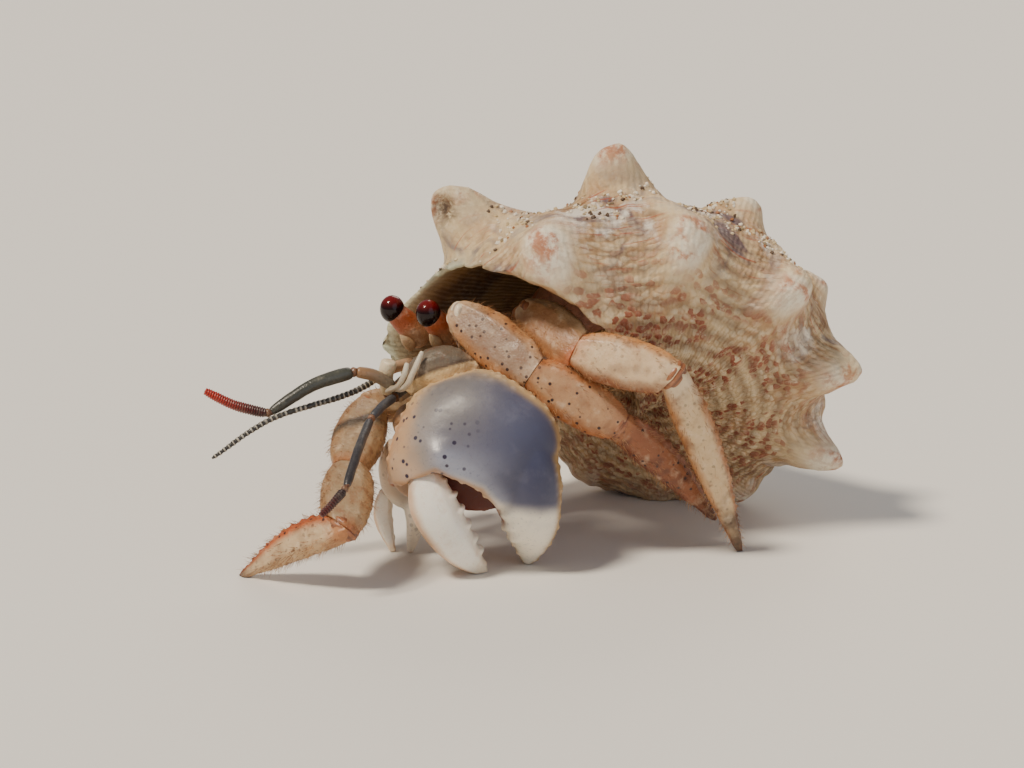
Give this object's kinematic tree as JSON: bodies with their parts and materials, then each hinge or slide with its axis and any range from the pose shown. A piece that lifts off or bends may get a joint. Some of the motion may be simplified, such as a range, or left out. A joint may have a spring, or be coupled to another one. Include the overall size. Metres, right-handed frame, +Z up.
{
  "type": "hermit crab model",
  "caption": "Still life-size land hermit crab walking with its large claw lowered to the ground, carrying a knobbed spiral snail shell.",
  "frame": {"origin": "middle of the outer box, at the level of the floor the crab stands on", "axes": "+Z up, the crab faces -Y and its left side is +X"},
  "size_m": [0.0568, 0.0724, 0.0467],
  "materials": {
    "shell_lime": "matt weathered shell lime, cream with rusty flecks",
    "carapace": "satin cuticle, tan orange",
    "claw_plate": "smooth glossy cuticle, grey violet fading to cream",
    "leg_plate": "satin cuticle, cream, tan and orange with dark spots",
    "eyestalk": "satin cuticle, orange",
    "cornea": "wet glossy dark red brown",
    "soft_skin": "soft moist skin",
    "feeler": "fine ringed cuticle, grey green to dark red",
    "mouthpart": "satin cuticle, cream"
  },
  "bodies": {
    "root": {"shell": "shell_lime", "shield": "carapace", "thorax": "carapace", "abdomen": "soft_skin", "tail_fan": "carapace", "left_eyestalk": "eyestalk", "left_cornea": "cornea", "right_eyestalk": "eyestalk", "right_cornea": "cornea", "left_front_leg_merus": "leg_plate", "left_front_leg_carpus": "leg_plate", "left_front_leg_propodus": "leg_plate", "left_front_leg_dactyl": "leg_plate", "left_back_leg_merus": "leg_plate", "left_back_leg_carpus": "leg_plate", "left_back_leg_propodus": "leg_plate", "left_back_leg_dactyl": "leg_plate", "right_front_leg_merus": "leg_plate", "right_front_leg_carpus": "leg_plate", "right_front_leg_propodus": "leg_plate", "right_front_leg_dactyl": "leg_plate", "right_back_leg_merus": "leg_plate", "right_back_leg_carpus": "leg_plate", "right_back_leg_propodus": "leg_plate", "right_back_leg_dactyl": "leg_plate", "left_claw_arm": "claw_plate", "left_claw_wrist": "claw_plate", "left_claw_palm": "claw_plate", "left_claw_finger": "claw_plate", "right_claw_arm": "claw_plate", "right_claw_wrist": "claw_plate", "right_claw_palm": "claw_plate", "right_claw_finger": "claw_plate", "left_fourth_leg": "leg_plate", "right_fourth_leg": "leg_plate", "left_fifth_leg": "leg_plate", "right_fifth_leg": "leg_plate", "right_antennule_base": "feeler", "right_antennule_stem": "feeler", "right_antennule_upper": "feeler", "right_antennule_whip": "feeler", "left_antennule_base": "feeler", "left_antennule_stem": "feeler", "left_antennule_upper": "feeler", "left_antennule_whip": "feeler", "right_antenna_base": "feeler", "right_antenna_whip": "feeler", "left_antenna_base": "feeler", "left_antenna_whip": "feeler", "right_maxilliped_lower": "mouthpart", "right_maxilliped_upper": "mouthpart", "left_maxilliped_lower": "mouthpart", "left_maxilliped_upper": "mouthpart"}
  },
  "joints": []
}
